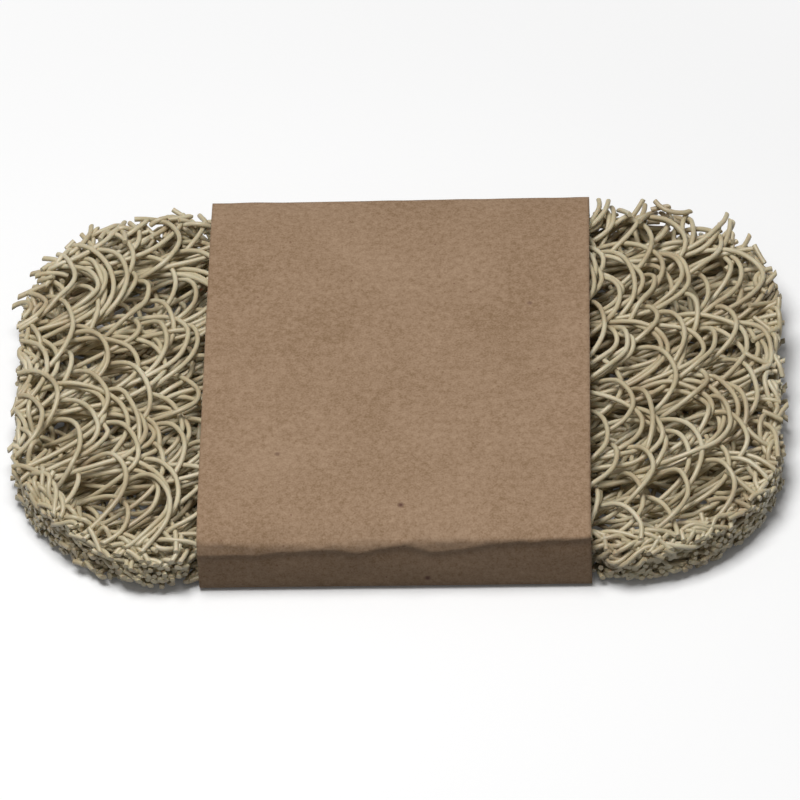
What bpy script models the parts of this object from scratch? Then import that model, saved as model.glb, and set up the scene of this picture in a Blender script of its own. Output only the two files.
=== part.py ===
# Soap saver: a die-cut pad of looped filaments in a folded kraft paper band.
#
# The pad is made as the real one is. Filaments are extruded side by side, each one coils as it
# falls, the coils lean over into a mat, and a die cuts the pad out of the mat. The band is one
# paper strip folded round the pad, lapped and glued underneath, and it slides off lengthwise.
#
# Metres, +Z up, +X along the pad, -Y towards the front. The origin is under the pad's centre, on
# the surface that it stands on.

import math
import random

import bmesh
import bpy
import numpy as np
from mathutils import Matrix

# Pad
PAD_LENGTH = 0.12065
PAD_WIDTH = 0.0780
PAD_THICKNESS = 0.0104
PAD_CORNER_RADIUS = 0.0240
EDGE_PINCH_DROP = 0.0030
EDGE_PINCH_RUN = 0.0080

# Filaments of the mat
FILAMENT_DIAMETER = 0.00095
BOND_GAP = 0.00045
CUT_OVERRUN = 0.0018
WELD_DISTANCE = 0.000005

# Paper band
BAND_LENGTH = 0.0605
PAPER_THICKNESS = 0.0003
BAND_CLEARANCE = 0.0003
TOP_FOLD_RADIUS = 0.0030
BASE_FOLD_RADIUS = 0.0014
TOP_CROWN = 0.0005
WALL_BULGE = 0.0003
LAP_LENGTH = 0.0140
LAP_STEP_RUN = 0.0030
GLUE_THICKNESS = 0.00015
GLUE_WIDTH = 0.0070
GLUE_END_MARGIN = 0.0040
GLUE_GAP = 0.0001

# Colours and roughness
FILAMENT_COLOUR = (0.55, 0.48, 0.35, 1.0)
FILAMENT_ROUGHNESS = 0.42
PAPER_COLOUR = (0.36, 0.235, 0.14, 1.0)
PAPER_ROUGHNESS = 0.88
GLUE_COLOUR = (0.72, 0.62, 0.42, 1.0)
GLUE_ROUGHNESS = 0.35

# Numbers of filament rows across the pad and of coils along each row. A coil's loop is as wide as
# so many rows and as long as so many coils. Clippings of less than a share of a coil fall out
ROWS = 12
COILS = 18
ROWS_PER_LOOP = 2.3
COILS_PER_LOOP = 2.35
ROWS_OF_WANDER = 0.25
SHORTEST_CLIPPING_SHARE = 0.36

# Faceting, as numbers of steps
LOOP_POINTS = 10
CORNER_STEPS = 12
FOLD_STEPS = 4
CROWN_STEPS = 8
WALL_STEPS = 4

# How far one coil of a filament may differ from the mean coil, and over how many coils it wanders
WIDTH_CHANGE_SHARE = 0.24
LENGTH_CHANGE_SHARE = 0.20
HEIGHT_CHANGE_SHARE = 0.22
SKEW_TURN = 0.45
WIDTH_PERIODS = (1.7, 2.9)
LENGTH_PERIODS = (1.9, 3.7)
HEIGHT_PERIODS = (1.3, 2.3)
SKEW_PERIODS = (2.1, 4.1)
SIDEWAYS_PERIODS = (3.1, 5.3)

# Settling of the filaments against each other
SEED = 360
SETTLE_STEPS = 300
BONDING_STEP = 80
LAST_SMOOTH_STEP = 216
NEW_PAIRS_EVERY = 8
PAIR_REACH_SHARE = 1.5
BOND_REACH_SHARE = 4.0
MOVE_SHARE = 0.45
SMOOTH_SHARE = 0.50
PARALLEL_SHARE = 1e-9

# A filament is a four-sided tube whose corners stand a little outside the round one
TUBE_CORNER_SHARE = 1.09

# Faces that meet at less than this are shaded as one round surface
ROUND_FILAMENT_DEGREES = 100
ROUND_PAPER_DEGREES = 35

# Sizes and heights that follow from those above
ROW_PITCH = PAD_WIDTH / ROWS
COIL_PITCH = PAD_LENGTH / COILS
LOOP_WIDTH = ROWS_PER_LOOP * ROW_PITCH
LOOP_LENGTH = COILS_PER_LOOP * COIL_PITCH
TUBE_RADIUS = FILAMENT_DIAMETER / 2 * TUBE_CORNER_SHARE
TUBE_THICKNESS = 2 * TUBE_RADIUS / math.cos(math.pi / LOOP_POINTS)
PAD_BOTTOM = PAPER_THICKNESS + BAND_CLEARANCE
PAD_TOP = PAD_BOTTOM + PAD_THICKNESS
PAD_TOP_RADIUS = max(TOP_FOLD_RADIUS - PAPER_THICKNESS - BAND_CLEARANCE, 0)
PAD_BASE_RADIUS = max(BASE_FOLD_RADIUS - PAPER_THICKNESS - BAND_CLEARANCE, 0)
BAND_HEIGHT = PAD_TOP + BAND_CLEARANCE + PAPER_THICKNESS
BAND_HALF_WIDTH = PAD_WIDTH / 2 + BAND_CLEARANCE + PAPER_THICKNESS
LAP_RISE = PAPER_THICKNESS + GLUE_THICKNESS + 2 * GLUE_GAP
LAP_STEP_START = -LAP_LENGTH / 2 - BAND_CLEARANCE
LAP_STEP_END = LAP_STEP_START - LAP_STEP_RUN


def clear_scene():
    for obj in list(bpy.data.objects):
        bpy.data.objects.remove(obj, do_unlink=True)


def new_collection(name):
    collection = bpy.data.collections.new(name)
    bpy.context.scene.collection.children.link(collection)
    return collection


def new_empty(name, collection, parent=None):
    empty = bpy.data.objects.new(name, None)
    collection.objects.link(empty)
    empty.parent = parent
    return empty


def new_material(name, colour, roughness):
    material = bpy.data.materials.new(name)
    material.use_nodes = True
    shader = material.node_tree.nodes["Principled BSDF"]
    shader.inputs["Base Color"].default_value = colour
    shader.inputs["Roughness"].default_value = roughness
    shader.inputs["Metallic"].default_value = 0.0
    return material


def new_curve(name, dimensions, points, collection, cyclic=False):
    """A curve object with one POLY spline through these points."""
    curve = bpy.data.curves.new(name, "CURVE")
    curve.dimensions = dimensions
    spline = curve.splines.new("POLY")
    spline.points.add(len(points) - 1)
    for point, place in zip(spline.points, points):
        point.co = (*place, 1)
    spline.use_cyclic_u = cyclic
    obj = bpy.data.objects.new(name, curve)
    collection.objects.link(obj)
    return obj


def turned_to_mesh(source, name, collection, parent=None, material=None, round_degrees=0):
    """The evaluated curve as a mesh object with its caps welded, in the curve's place."""
    bpy.context.view_layer.update()
    graph = bpy.context.evaluated_depsgraph_get()
    mesh = bpy.data.meshes.new_from_object(source.evaluated_get(graph))
    mesh.name = name
    shape = bmesh.new()
    shape.from_mesh(mesh)
    bmesh.ops.remove_doubles(shape, verts=shape.verts, dist=WELD_DISTANCE)
    bmesh.ops.recalc_face_normals(shape, faces=shape.faces)
    shape.to_mesh(mesh)
    shape.free()
    mesh.shade_smooth()
    mesh.set_sharp_from_angle(angle=math.radians(round_degrees))
    mesh.materials.clear()
    if material:
        mesh.materials.append(material)
    obj = bpy.data.objects.new(name, mesh)
    collection.objects.link(obj)
    obj.matrix_world = source.matrix_world
    obj.parent = parent
    bpy.data.objects.remove(source, do_unlink=True)
    return obj


# The pad's outline, and the room that the band leaves the mat


def outline_distance(x, y):
    """How far outside the pad's outline a point lies, negative inside, and the way out."""
    over_x = np.abs(x) - (PAD_LENGTH / 2 - PAD_CORNER_RADIUS)
    over_y = np.abs(y) - (PAD_WIDTH / 2 - PAD_CORNER_RADIUS)
    outer = np.hypot(np.maximum(over_x, 0), np.maximum(over_y, 0))
    distance = outer + np.minimum(np.maximum(over_x, over_y), 0) - PAD_CORNER_RADIUS
    in_corner = outer > 0
    divisor = np.where(in_corner, outer, 1)
    way_x = np.where(in_corner, np.maximum(over_x, 0) / divisor, over_x > over_y)
    way_y = np.where(in_corner, np.maximum(over_y, 0) / divisor, over_y >= over_x)
    return distance, way_x * np.sign(x), way_y * np.sign(y)


def rounded_drop(inward, radius):
    """How far a face with a rounded edge has dropped at a distance inward from the outline."""
    into_edge = np.clip(radius - inward, 0, radius)
    return radius - np.sqrt(radius**2 - into_edge**2)


def mat_ceiling(inward):
    """The die pinches the mat's top edge down. It also has to clear the band's top folds."""
    pinch = EDGE_PINCH_DROP * np.clip(1 - inward / EDGE_PINCH_RUN, 0, 1) ** 2
    return PAD_TOP - np.maximum(pinch, rounded_drop(inward, PAD_TOP_RADIUS))


def mat_floor(inward, y):
    """The mat is pressed up over the band's lap, where the paper is double."""
    rise_start = np.clip((y - LAP_STEP_END) / LAP_STEP_RUN + 1, 0, 1)
    rise_end = np.clip((LAP_LENGTH / 2 - y) / LAP_STEP_RUN + 1, 0, 1)
    lap = LAP_RISE * np.minimum(rise_start, rise_end)
    return PAD_BOTTOM + rounded_drop(inward, PAD_BASE_RADIUS) + lap


def rounded_rectangle():
    """The pad's outline, from the middle of one corner arc's start round to its end."""
    outline = []
    for quarter, (side_x, side_y) in enumerate(((1, 1), (-1, 1), (-1, -1), (1, -1))):
        centre_x = side_x * (PAD_LENGTH / 2 - PAD_CORNER_RADIUS)
        centre_y = side_y * (PAD_WIDTH / 2 - PAD_CORNER_RADIUS)
        for step in range(CORNER_STEPS + 1):
            turn = (quarter + step / CORNER_STEPS) * math.pi / 2
            x = centre_x + PAD_CORNER_RADIUS * math.cos(turn)
            y = centre_y + PAD_CORNER_RADIUS * math.sin(turn)
            outline.append((x, y, 0))
    return outline


def make_die(cutters):
    """The cutting die as a prism of the pad's outline, taller than the mat."""
    guide = new_curve("die_guide", "2D", rounded_rectangle(), cutters, cyclic=True)
    guide.data.fill_mode = "BOTH"
    guide.data.extrude = PAD_TOP
    guide.location.z = PAD_TOP / 2
    die = turned_to_mesh(guide, "die", cutters)
    die.hide_render = True
    die.display_type = "WIRE"
    return die


# Paths of the filaments


class Wander:
    """A smooth seeded change along a filament, from -1 to 1."""

    def __init__(self, dice, periods):
        self.waves = [(period, dice.uniform(0, math.tau)) for period in periods]

    def at(self, turn):
        heights = [math.sin(math.tau * turn / period + phase) for period, phase in self.waves]
        return sum(heights) / len(heights)


def flattened(height):
    """A coil's rise, from -1 to 1, with its top and bottom pressed flat by the mat's faces."""
    return (3 * height - height**3) / 2


def coil_path(row_y, dice):
    """One filament as the extruder lays it: a coil along +X that leans over forwards."""
    turns = COILS + 2 * math.ceil(LOOP_LENGTH / COIL_PITCH)
    start_x = (dice.uniform(0, 1) - turns / 2) * COIL_PITCH
    hand = dice.choice((-1, 1))
    sideways = Wander(dice, SIDEWAYS_PERIODS)
    width = Wander(dice, WIDTH_PERIODS)
    length = Wander(dice, LENGTH_PERIODS)
    rise = Wander(dice, HEIGHT_PERIODS)
    skew = Wander(dice, SKEW_PERIODS)
    middle = (PAD_TOP + PAD_BOTTOM) / 2
    half_height = PAD_THICKNESS / 2 - TUBE_RADIUS
    path = []
    for step in range(turns * LOOP_POINTS + 1):
        turn = step / LOOP_POINTS
        angle = math.tau * turn
        along = (1 + LENGTH_CHANGE_SHARE * length.at(turn)) * math.cos(angle)
        across = (1 + WIDTH_CHANGE_SHARE * width.at(turn)) * math.sin(angle) * hand
        swing = SKEW_TURN * skew.at(turn)
        loop_x = along * math.cos(swing) - across * math.sin(swing)
        loop_y = along * math.sin(swing) + across * math.cos(swing)
        x = start_x + turn * COIL_PITCH + LOOP_LENGTH / 2 * loop_x
        y = row_y + ROWS_OF_WANDER * ROW_PITCH * sideways.at(turn) + LOOP_WIDTH / 2 * loop_y
        reach = half_height * (1 - HEIGHT_CHANGE_SHARE * (1 + rise.at(turn)) / 2)
        path.append((x, y, middle + reach * flattened(math.cos(angle))))
    return np.array(path)


def path_length(path):
    return float(np.linalg.norm(np.diff(path, axis=0), axis=1).sum())


def with_cut_ends(path, distance, first, last):
    """path[first] to path[last], run on past the outline at both ends for the die to cut."""
    kept = list(path[first : last + 1])
    for inner, outer, at in ((first, first - 1, 0), (last, last + 1, -1)):
        step = path[outer] - path[inner]
        share = -distance[inner] / (distance[outer] - distance[inner])
        end = path[inner] + step * min(share, 1) + step / np.linalg.norm(step) * CUT_OVERRUN
        if len(kept) > 2 and np.linalg.norm(kept[at] - end) < CUT_OVERRUN + TUBE_RADIUS:
            kept.pop(at)
        kept.insert(0 if at == 0 else len(kept), end)
    return np.array(kept)


def stretches_inside(path):
    """The stretches of a path that the die leaves in the pad. The shortest fall out of its edge."""
    distance = outline_distance(path[:, 0], path[:, 1])[0]
    inside = distance < -TUBE_RADIUS
    changes = np.flatnonzero(np.diff(inside.astype(int)))
    starts = [step + 1 for step in changes if inside[step + 1]]
    ends = [step for step in changes if inside[step]]
    found = []
    for first, last in zip(starts, ends):
        if last - first >= SHORTEST_CLIPPING_SHARE * LOOP_POINTS:
            found.append(with_cut_ends(path, distance, first, last))
    return found


def draw_filaments():
    """Every filament in the pad by name. The edge and corners cut some rows into short loops."""
    filaments = {}
    for row in range(ROWS):
        row_y = (row - (ROWS - 1) / 2) * ROW_PITCH
        dice = random.Random(f"{SEED} {row}")
        loops = 0
        for stretch in stretches_inside(coil_path(row_y, dice)):
            if path_length(stretch) > PAD_LENGTH:
                name = f"filament_row{row + 1:02d}"
            else:
                loops += 1
                name = f"cut_loop_row{row + 1:02d}_{loops:02d}"
            filaments[name] = stretch
    return filaments


# Settling of the filaments


def closest_shares(a_start, a_end, b_start, b_end):
    """How far along each of two segments, from 0 to 1, their closest points lie."""
    a = a_end - a_start
    b = b_end - b_start
    between = a_start - b_start
    aa = (a * a).sum(1)
    bb = (b * b).sum(1)
    ab = (a * b).sum(1)
    a_between = (a * between).sum(1)
    b_between = (b * between).sum(1)
    spread = np.maximum(aa * bb - ab * ab, aa * bb * PARALLEL_SHARE)
    along_a = np.clip((ab * b_between - bb * a_between) / spread, 0, 1)
    along_b = np.clip((ab * along_a + b_between) / bb, 0, 1)
    along_a = np.clip((ab * along_b - a_between) / aa, 0, 1)
    return along_a, along_b


class Mat:
    """All the filament paths together, which push each other apart until none overlaps."""

    def __init__(self, paths):
        self.points = np.concatenate(paths)
        self.splits = np.cumsum([len(path) for path in paths])[:-1]
        owner = np.repeat(np.arange(len(paths)), [len(path) for path in paths])
        index = np.arange(len(self.points))
        self.segments = np.flatnonzero(owner[:-1] == owner[1:])
        self.segment_owner = owner[self.segments]
        self.filaments = len(paths)
        self.before = np.where(np.isin(index - 1, self.segments), index - 1, index)
        self.after = np.where(np.isin(index, self.segments), index + 1, index)
        is_end = (self.before == index) | (self.after == index)
        self.whole = ~(is_end | is_end[self.before] | is_end[self.after])

    def near_pairs(self, reach):
        """Pairs of segments that could come within reach of each other."""
        start = self.points[self.segments]
        end = self.points[self.segments + 1]
        middle = (start + end) / 2
        half = np.linalg.norm(end - start, axis=1) / 2
        squares = (middle**2).sum(1)
        apart = squares[:, None] + squares[None, :] - 2 * middle @ middle.T
        near = apart < (half[:, None] + half[None, :] + reach) ** 2
        first, second = np.nonzero(np.triu(near, 1))
        same = self.segment_owner[first] == self.segment_owner[second]
        neighbours = same & (self.segments[second] - self.segments[first] <= 2)
        return self.segments[first[~neighbours]], self.segments[second[~neighbours]]

    def closest(self, first, second):
        """Where each pair of segments comes closest, and the step from one to the other."""
        points = self.points
        a_start, a_end = points[first], points[first + 1]
        b_start, b_end = points[second], points[second + 1]
        share_a, share_b = closest_shares(a_start, a_end, b_start, b_end)
        at_a = a_start + (a_end - a_start) * share_a[:, None]
        at_b = b_start + (b_end - b_start) * share_b[:, None]
        return share_a, share_b, at_a - at_b

    def distances(self, first, second):
        return np.linalg.norm(self.closest(first, second)[2], axis=1)

    def move(self, first, second, wanted, chosen):
        """Moves the chosen pairs of segments towards the wanted distance."""
        share_a, share_b, apart = self.closest(first[chosen], second[chosen])
        distance = np.maximum(np.linalg.norm(apart, axis=1), WELD_DISTANCE)
        step = apart * ((wanted / distance - 1) * MOVE_SHARE)[:, None]
        moves = np.zeros_like(self.points)
        weights = np.zeros(len(self.points))
        for start, share, way in ((first[chosen], share_a, step), (second[chosen], share_b, -step)):
            for index, weight in ((start, 1 - share), (start + 1, share)):
                np.add.at(moves, index, 2 * weight[:, None] * way)
                np.add.at(weights, index, weight)
        self.points += moves / np.maximum(weights, 1)[:, None]

    def find_bonds(self, reach):
        """The shortest set of bonds, as pairs of segments, that joins every filament to the rest."""
        first, second = self.near_pairs(reach)
        owner_a = self.segment_owner[np.searchsorted(self.segments, first)]
        owner_b = self.segment_owner[np.searchsorted(self.segments, second)]
        group = np.arange(self.filaments)
        bonds = []
        for pair in np.argsort(self.distances(first, second), kind="stable"):
            group_a, group_b = group[owner_a[pair]], group[owner_b[pair]]
            if group_a != group_b:
                group[group == group_b] = group_a
                bonds.append(pair)
        return first[bonds], second[bonds]

    def smooth(self, drawn):
        """Spreads each point's move along its filament, so that the loops keep their curves."""
        moved = self.points - drawn
        self.points += SMOOTH_SHARE * ((moved[self.before] + moved[self.after]) / 2 - moved)

    def hold_inside(self):
        """Keeps the mat between its faces, and whole loops clear of the die."""
        x, y, z = self.points.T
        distance, way_x, way_y = outline_distance(x, y)
        np.clip(z, mat_floor(-distance, y) + TUBE_RADIUS, mat_ceiling(-distance) - TUBE_RADIUS, out=z)
        over = np.where(self.whole, np.maximum(distance + TUBE_RADIUS + BOND_GAP, 0), 0)
        x -= over * way_x
        y -= over * way_y

    def settle(self):
        """Pushes crossing filaments apart, and bonds each one to its nearest neighbour."""
        drawn = self.points.copy()
        wanted = TUBE_THICKNESS + BOND_GAP
        for step in range(SETTLE_STEPS):
            if step % NEW_PAIRS_EVERY == 0:
                pairs = self.near_pairs(wanted * PAIR_REACH_SHARE)
            if step == BONDING_STEP:
                bonds = self.find_bonds(wanted * BOND_REACH_SHARE)
            if step >= BONDING_STEP:
                self.move(*bonds, wanted, self.distances(*bonds) > wanted)
            self.move(*pairs, wanted, self.distances(*pairs) < wanted)
            if step < LAST_SMOOTH_STEP:
                self.smooth(drawn)
            self.hold_inside()

    def least_gap(self):
        pairs = self.near_pairs(TUBE_THICKNESS * PAIR_REACH_SHARE)
        return float(self.distances(*pairs).min()) - 2 * TUBE_RADIUS

    def paths(self):
        return np.split(self.points, self.splits)


def make_filament(name, path, die, collection, parent, material):
    """A tube along the path, cut flush with the pad's outline by the die."""
    line = new_curve(name + "_line", "3D", path, collection)
    line.data.bevel_depth = TUBE_RADIUS
    line.data.bevel_resolution = 0
    line.data.use_fill_caps = True
    filament = turned_to_mesh(line, name, collection, parent, material, ROUND_FILAMENT_DEGREES)
    cut = filament.modifiers.new("die_cut", "BOOLEAN")
    cut.operation = "INTERSECT"
    cut.solver = "EXACT"
    cut.object = die
    return filament


def make_pad(collection, cutters):
    pad = new_empty("pad", collection)
    material = new_material("bone_soft_plastic", FILAMENT_COLOUR, FILAMENT_ROUGHNESS)
    die = make_die(cutters)
    filaments = draw_filaments()
    mat = Mat(list(filaments.values()))
    mat.settle()
    for name, path in zip(filaments, mat.paths()):
        make_filament(name, path, die, collection, pad, material)
    metres = sum(path_length(path) for path in mat.paths())
    print(f"{len(filaments)} filaments, {metres:.2f} m, least gap {mat.least_gap() * 1000:.2f} mm")


# Paper band


def arc(centre_y, centre_z, radius, start_degrees, end_degrees, steps):
    turns = (start_degrees + (end_degrees - start_degrees) * step / steps for step in range(steps + 1))
    return [
        (
            centre_y + radius * math.cos(math.radians(turn)),
            centre_z + radius * math.sin(math.radians(turn)),
        )
        for turn in turns
    ]


def bowed(start, end, rise_y, rise_z, steps):
    """The points between two ends of a face that bows out by a rise at its middle."""
    points = []
    for step in range(1, steps):
        share = step / steps
        bow = 4 * share * (1 - share)
        y = start[0] + (end[0] - start[0]) * share + rise_y * bow
        z = start[1] + (end[1] - start[1]) * share + rise_z * bow
        points.append((y, z))
    return points


def band_section():
    """The outer face of the strip in Y and Z, from its inner end round to its outer end."""
    low_y = BAND_HALF_WIDTH - BASE_FOLD_RADIUS
    high_y = BAND_HALF_WIDTH - TOP_FOLD_RADIUS
    high_z = BAND_HEIGHT - TOP_FOLD_RADIUS
    front_bottom = arc(-low_y, BASE_FOLD_RADIUS, BASE_FOLD_RADIUS, 270, 180, FOLD_STEPS)
    front_top = arc(-high_y, high_z, TOP_FOLD_RADIUS, 180, 90, FOLD_STEPS)
    back_top = arc(high_y, high_z, TOP_FOLD_RADIUS, 90, 0, FOLD_STEPS)
    back_bottom = arc(low_y, BASE_FOLD_RADIUS, BASE_FOLD_RADIUS, 0, -90, FOLD_STEPS)
    return [
        (LAP_LENGTH / 2, LAP_RISE),
        (LAP_STEP_START, LAP_RISE),
        (LAP_STEP_END, 0),
        *front_bottom,
        *bowed(front_bottom[-1], front_top[0], -WALL_BULGE, 0, WALL_STEPS),
        *front_top,
        *bowed(front_top[-1], back_top[0], 0, TOP_CROWN, CROWN_STEPS),
        *back_top,
        *bowed(back_top[-1], back_bottom[0], WALL_BULGE, 0, WALL_STEPS),
        *back_bottom,
        (-LAP_LENGTH / 2, 0),
    ]


def make_strip(collection, parent):
    """The kraft strip: its section drawn out along X and thickened towards the pad."""
    material = new_material("kraft_paper", PAPER_COLOUR, PAPER_ROUGHNESS)
    section = [(y, z, 0) for y, z in band_section()]
    guide = new_curve("band_guide", "2D", section, collection)
    guide.data.fill_mode = "NONE"
    guide.data.extrude = BAND_LENGTH / 2
    guide.rotation_euler = (math.pi / 2, 0, math.pi / 2)
    band = turned_to_mesh(guide, "paper_band", collection, parent, material, ROUND_PAPER_DEGREES)
    paper = band.modifiers.new("paper", "SOLIDIFY")
    paper.thickness = PAPER_THICKNESS
    paper.use_even_offset = True
    paper.offset = -1
    return band


def make_glue(collection, parent):
    """The glue line between the strip's two ends."""
    size = (BAND_LENGTH - 2 * GLUE_END_MARGIN, GLUE_WIDTH, GLUE_THICKNESS)
    mesh = bpy.data.meshes.new("lap_glue")
    shape = bmesh.new()
    bmesh.ops.create_cube(shape, size=1, matrix=Matrix.Diagonal((*size, 1)))
    shape.to_mesh(mesh)
    shape.free()
    mesh.materials.append(new_material("clear_glue", GLUE_COLOUR, GLUE_ROUGHNESS))
    glue = bpy.data.objects.new("lap_glue", mesh)
    collection.objects.link(glue)
    glue.location.z = PAPER_THICKNESS + GLUE_GAP + GLUE_THICKNESS / 2
    glue.parent = parent


def make_band(collection):
    """The band and its glue, on an empty that slides along X through the pad's middle."""
    slide = new_empty("band_slide", collection)
    make_strip(collection, slide)
    make_glue(collection, slide)


def main():
    clear_scene()
    collection = new_collection("soap_saver")
    cutters = new_collection("cutters")
    make_pad(collection, cutters)
    make_band(collection)


main()
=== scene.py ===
"""Looks of a soap saver: a die-cut pad of looped plastic filament in a kraft paper band.

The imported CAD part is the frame. The filaments that it holds are drawn again as round strands on
their own centrelines, and the rest of the mat's filament is laid and settled between them. The
paper band is drawn again as a thin folded sheet with its soft, slightly crumpled folds.
"""

from __future__ import annotations

import logging
import math
import random
from collections.abc import Callable, Iterable
from dataclasses import dataclass, field
from enum import Enum
from functools import partial

import bpy
import numpy as np
from mathutils import Matrix, Vector, noise

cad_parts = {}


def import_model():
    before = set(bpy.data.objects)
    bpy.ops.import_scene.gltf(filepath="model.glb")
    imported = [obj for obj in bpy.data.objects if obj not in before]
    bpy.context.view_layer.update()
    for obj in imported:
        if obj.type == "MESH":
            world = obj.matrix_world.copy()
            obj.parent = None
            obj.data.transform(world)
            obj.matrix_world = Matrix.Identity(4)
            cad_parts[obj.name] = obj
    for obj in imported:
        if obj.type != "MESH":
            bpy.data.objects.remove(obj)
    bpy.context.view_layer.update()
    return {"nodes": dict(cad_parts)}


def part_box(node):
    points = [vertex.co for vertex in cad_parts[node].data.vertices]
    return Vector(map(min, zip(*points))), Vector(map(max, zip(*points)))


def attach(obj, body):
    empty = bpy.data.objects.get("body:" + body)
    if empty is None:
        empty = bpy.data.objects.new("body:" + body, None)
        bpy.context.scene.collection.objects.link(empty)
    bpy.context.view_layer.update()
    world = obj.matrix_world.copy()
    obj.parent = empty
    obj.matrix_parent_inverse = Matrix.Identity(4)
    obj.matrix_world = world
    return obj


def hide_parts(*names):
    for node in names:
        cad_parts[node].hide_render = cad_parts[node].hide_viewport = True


LOG = logging.getLogger("soap_saver")
MM = 0.001
# A distance too short to see, which keeps a division or a direction from failing
HAIR = 1e-6


def linear(code: str) -> tuple[float, float, float, float]:
    """Turns an sRGB hex colour into Blender's linear colour.

    Args:
        code: Six hex digits after a number sign.

    Returns:
        Linear red, green and blue, and an alpha of 1.
    """
    parts = [int(code[place : place + 2], 16) / 255 for place in (1, 3, 5)]
    channels = [part / 12.92 if part <= 0.04045 else ((part + 0.055) / 1.055) ** 2.4 for part in parts]
    return (*channels, 1.0)


def add_node(
    tree: bpy.types.NodeTree,
    kind: str,
    settings: dict[str, object] | None = None,
    inputs: dict[str | int, object] | None = None,
    stops: Iterable[tuple[float, str]] = (),
) -> bpy.types.Node:
    """Adds a node with its settings, input values, links and colour stops.

    Args:
        tree: The node tree that gets the node.
        kind: Blender's type name, such as ShaderNodeTexNoise.
        settings: Attributes of the node itself.
        inputs: Value or source socket for each input, by name or place.
        stops: A colour ramp's places from 0 to 1 and their hex colours.

    Returns:
        The new node.
    """
    node = tree.nodes.new(kind)
    for name, value in (settings or {}).items():
        setattr(node, name, value)
    for name, value in (inputs or {}).items():
        socket = node.inputs[name]
        if isinstance(value, bpy.types.NodeSocket):
            tree.links.new(value, socket)
        else:
            socket.default_value = value
    for index, (place, code) in enumerate(stops):
        elements = node.color_ramp.elements
        element = elements[index] if index < 2 else elements.new(place)
        element.position = place
        element.color = linear(code)
    return node


def emptied(owner: bpy.types.Material | bpy.types.World) -> Callable[..., bpy.types.Node]:
    """Empties the node tree of a material or a world.

    Args:
        owner: The material or the world.

    Returns:
        The function add_node for that tree.
    """
    owner.use_nodes = True
    owner.node_tree.nodes.clear()
    return partial(add_node, owner.node_tree)


def add_object(name: str, data: bpy.types.ID) -> bpy.types.Object:
    """Makes an object and puts it in the scene.

    Args:
        name: The object's name.
        data: Its mesh, lamp or camera.

    Returns:
        The new object.
    """
    obj = bpy.data.objects.new(name, data)
    bpy.context.scene.collection.objects.link(obj)
    return obj


def smooth_step(share: np.ndarray) -> np.ndarray:
    """Eases shares from 0 to 1 in and out."""
    share = np.clip(share, 0, 1)
    return share * share * (3 - 2 * share)


def walked(path: np.ndarray) -> np.ndarray:
    """Adds up the distance along a path from its start to each of its points."""
    return np.concatenate(([0], np.cumsum(np.linalg.norm(np.diff(path, axis=0), axis=1))))


class Edge(Enum):
    """Which end of a strand a cut is made at."""

    FIRST = 0
    LAST = -1


@dataclass(frozen=True)
class SoftPvc:
    """Soft PVC, melt-extruded into round filament and quenched in water.

    Extrusion leaves a smooth satin skin, so each strand has a soft highlight along its top. The
    plastic is slightly milky, which lets red light a little way in and warms the shade between
    the strands. Its bone colour drifts, so that the mat doesn't look like one cast piece. The
    skin's own grain is too fine to show, so it is drawn as coarse as it needs to be.
    """

    deep: str = "#B4A384"
    plain: str = "#C3B696"
    pale: str = "#D1C6AA"
    drift_mm: float = 7.0
    grain_mm: float = 0.5
    grain_height_mm: float = 0.02
    grain_strength: float = 0.25
    roughness: float = 0.38
    ior: float = 1.53
    milkiness: float = 0.18
    glow_mm: float = 0.45
    glow_share: tuple[float, float, float] = (1.0, 0.6, 0.4)

    def make(self) -> bpy.types.Material:
        """Builds the material.

        Returns:
            The filament's material.
        """
        material = bpy.data.materials.new("extruded_soft_pvc")
        add = emptied(material)
        place = add("ShaderNodeTexCoord").outputs["Object"]
        drift, grain = (
            add(
                "ShaderNodeTexNoise",
                inputs={"Vector": place, "Scale": 1 / (size_mm * MM), "Detail": detail},
            ).outputs["Fac"]
            for size_mm, detail in ((self.drift_mm, 2.0), (self.grain_mm, 3.0))
        )
        colour = add(
            "ShaderNodeValToRGB",
            inputs={"Fac": drift},
            stops=((0.3, self.deep), (0.5, self.plain), (0.7, self.pale)),
        )
        skin = add(
            "ShaderNodeBump",
            inputs={
                "Strength": self.grain_strength,
                "Distance": self.grain_height_mm * MM,
                "Height": grain,
            },
        )
        shader = add(
            "ShaderNodeBsdfPrincipled",
            inputs={
                "Base Color": colour.outputs["Color"],
                "Roughness": self.roughness,
                "IOR": self.ior,
                "Subsurface Weight": self.milkiness,
                "Subsurface Scale": self.glow_mm * MM,
                "Subsurface Radius": self.glow_share,
                "Normal": skin.outputs["Normal"],
            },
        )
        add("ShaderNodeOutputMaterial", inputs={"Surface": shader.outputs["BSDF"]})
        return material


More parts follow.
